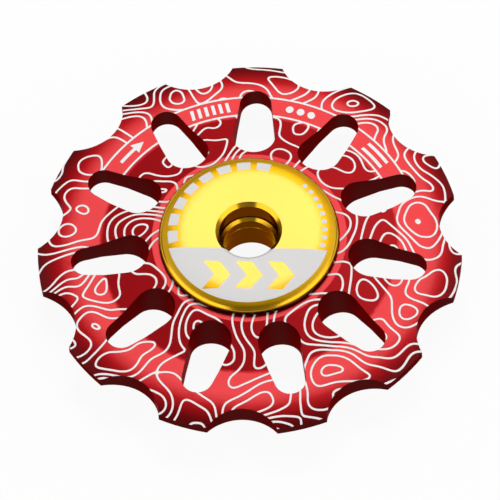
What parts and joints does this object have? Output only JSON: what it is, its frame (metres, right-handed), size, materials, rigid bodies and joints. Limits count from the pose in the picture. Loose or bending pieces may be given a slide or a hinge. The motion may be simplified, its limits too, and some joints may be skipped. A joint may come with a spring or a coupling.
{
  "type": "derailleur jockey wheel",
  "caption": "Toothed aluminium chain idler wheel with tapered lightening slots, turning on a sealed ball bearing between two dust caps with a bolt bore.",
  "frame": {"origin": "centre of the axle bore, on the wheel's middle plane, where the two caps' sleeves meet", "axes": "+Z along the axle, out of the front cap; +Y through the middle of one tooth; the wheel lies on its rear cap"},
  "size_m": [0.041, 0.0407, 0.0074],
  "materials": {
    "red_anodised": "red anodised, satin",
    "gold_anodised": "gold anodised, bright",
    "bearing_steel": "ground steel",
    "ball_steel": "polished steel",
    "cage_nylon": "natural nylon",
    "seal_rubber": "black rubber"
  },
  "bodies": {
    "hub": {"front_cap": "gold_anodised", "rear_cap": "gold_anodised", "bearing_inner_race": "bearing_steel"},
    "wheel": {"pulley_wheel": "red_anodised", "bearing_outer_race": "bearing_steel", "front_seal": "seal_rubber", "rear_seal": "seal_rubber"},
    "cage": {"ball_cage": "cage_nylon"},
    "ball_1": {"bearing_ball_1": "ball_steel"},
    "ball_2": {"bearing_ball_2": "ball_steel"},
    "ball_3": {"bearing_ball_3": "ball_steel"},
    "ball_4": {"bearing_ball_4": "ball_steel"},
    "ball_5": {"bearing_ball_5": "ball_steel"},
    "ball_6": {"bearing_ball_6": "ball_steel"},
    "ball_7": {"bearing_ball_7": "ball_steel"},
    "ball_8": {"bearing_ball_8": "ball_steel"},
    "ball_9": {"bearing_ball_9": "ball_steel"}
  },
  "joints": [
    {"name": "wheel_spin", "type": "hinge", "parent": "hub", "child": "wheel", "pos_m": [0, 0, 0], "axis": [0, 0, 1], "continuous": true},
    {"name": "cage_orbit", "type": "hinge", "parent": "hub", "child": "cage", "pos_m": [0, 0, 0], "axis": [0, 0, 1], "continuous": true},
    {"name": "ball_1_roll", "type": "hinge", "parent": "cage", "child": "ball_1", "pos_m": [0, 0.006, 0], "axis": [0, 0, 1], "continuous": true},
    {"name": "ball_2_roll", "type": "hinge", "parent": "cage", "child": "ball_2", "pos_m": [-0.00386, 0.0046, 0], "axis": [0, 0, 1], "continuous": true},
    {"name": "ball_3_roll", "type": "hinge", "parent": "cage", "child": "ball_3", "pos_m": [-0.00591, 0.00104, 0], "axis": [0, 0, 1], "continuous": true},
    {"name": "ball_4_roll", "type": "hinge", "parent": "cage", "child": "ball_4", "pos_m": [-0.0052, -0.003, 0], "axis": [0, 0, 1], "continuous": true},
    {"name": "ball_5_roll", "type": "hinge", "parent": "cage", "child": "ball_5", "pos_m": [-0.00205, -0.00564, 0], "axis": [0, 0, 1], "continuous": true},
    {"name": "ball_6_roll", "type": "hinge", "parent": "cage", "child": "ball_6", "pos_m": [0.00205, -0.00564, 0], "axis": [0, 0, 1], "continuous": true},
    {"name": "ball_7_roll", "type": "hinge", "parent": "cage", "child": "ball_7", "pos_m": [0.0052, -0.003, 0], "axis": [0, 0, 1], "continuous": true},
    {"name": "ball_8_roll", "type": "hinge", "parent": "cage", "child": "ball_8", "pos_m": [0.00591, 0.00104, 0], "axis": [0, 0, 1], "continuous": true},
    {"name": "ball_9_roll", "type": "hinge", "parent": "cage", "child": "ball_9", "pos_m": [0.00386, 0.0046, 0], "axis": [0, 0, 1], "continuous": true}
  ],
  "couplings": [
    {"joint": "cage_orbit", "follows": "wheel_spin", "ratio": 0.58333},
    {"joint": "ball_1_roll", "follows": "wheel_spin", "ratio": 2.9167},
    {"joint": "ball_2_roll", "follows": "wheel_spin", "ratio": 2.9167},
    {"joint": "ball_3_roll", "follows": "wheel_spin", "ratio": 2.9167},
    {"joint": "ball_4_roll", "follows": "wheel_spin", "ratio": 2.9167},
    {"joint": "ball_5_roll", "follows": "wheel_spin", "ratio": 2.9167},
    {"joint": "ball_6_roll", "follows": "wheel_spin", "ratio": 2.9167},
    {"joint": "ball_7_roll", "follows": "wheel_spin", "ratio": 2.9167},
    {"joint": "ball_8_roll", "follows": "wheel_spin", "ratio": 2.9167},
    {"joint": "ball_9_roll", "follows": "wheel_spin", "ratio": 2.9167}
  ]
}
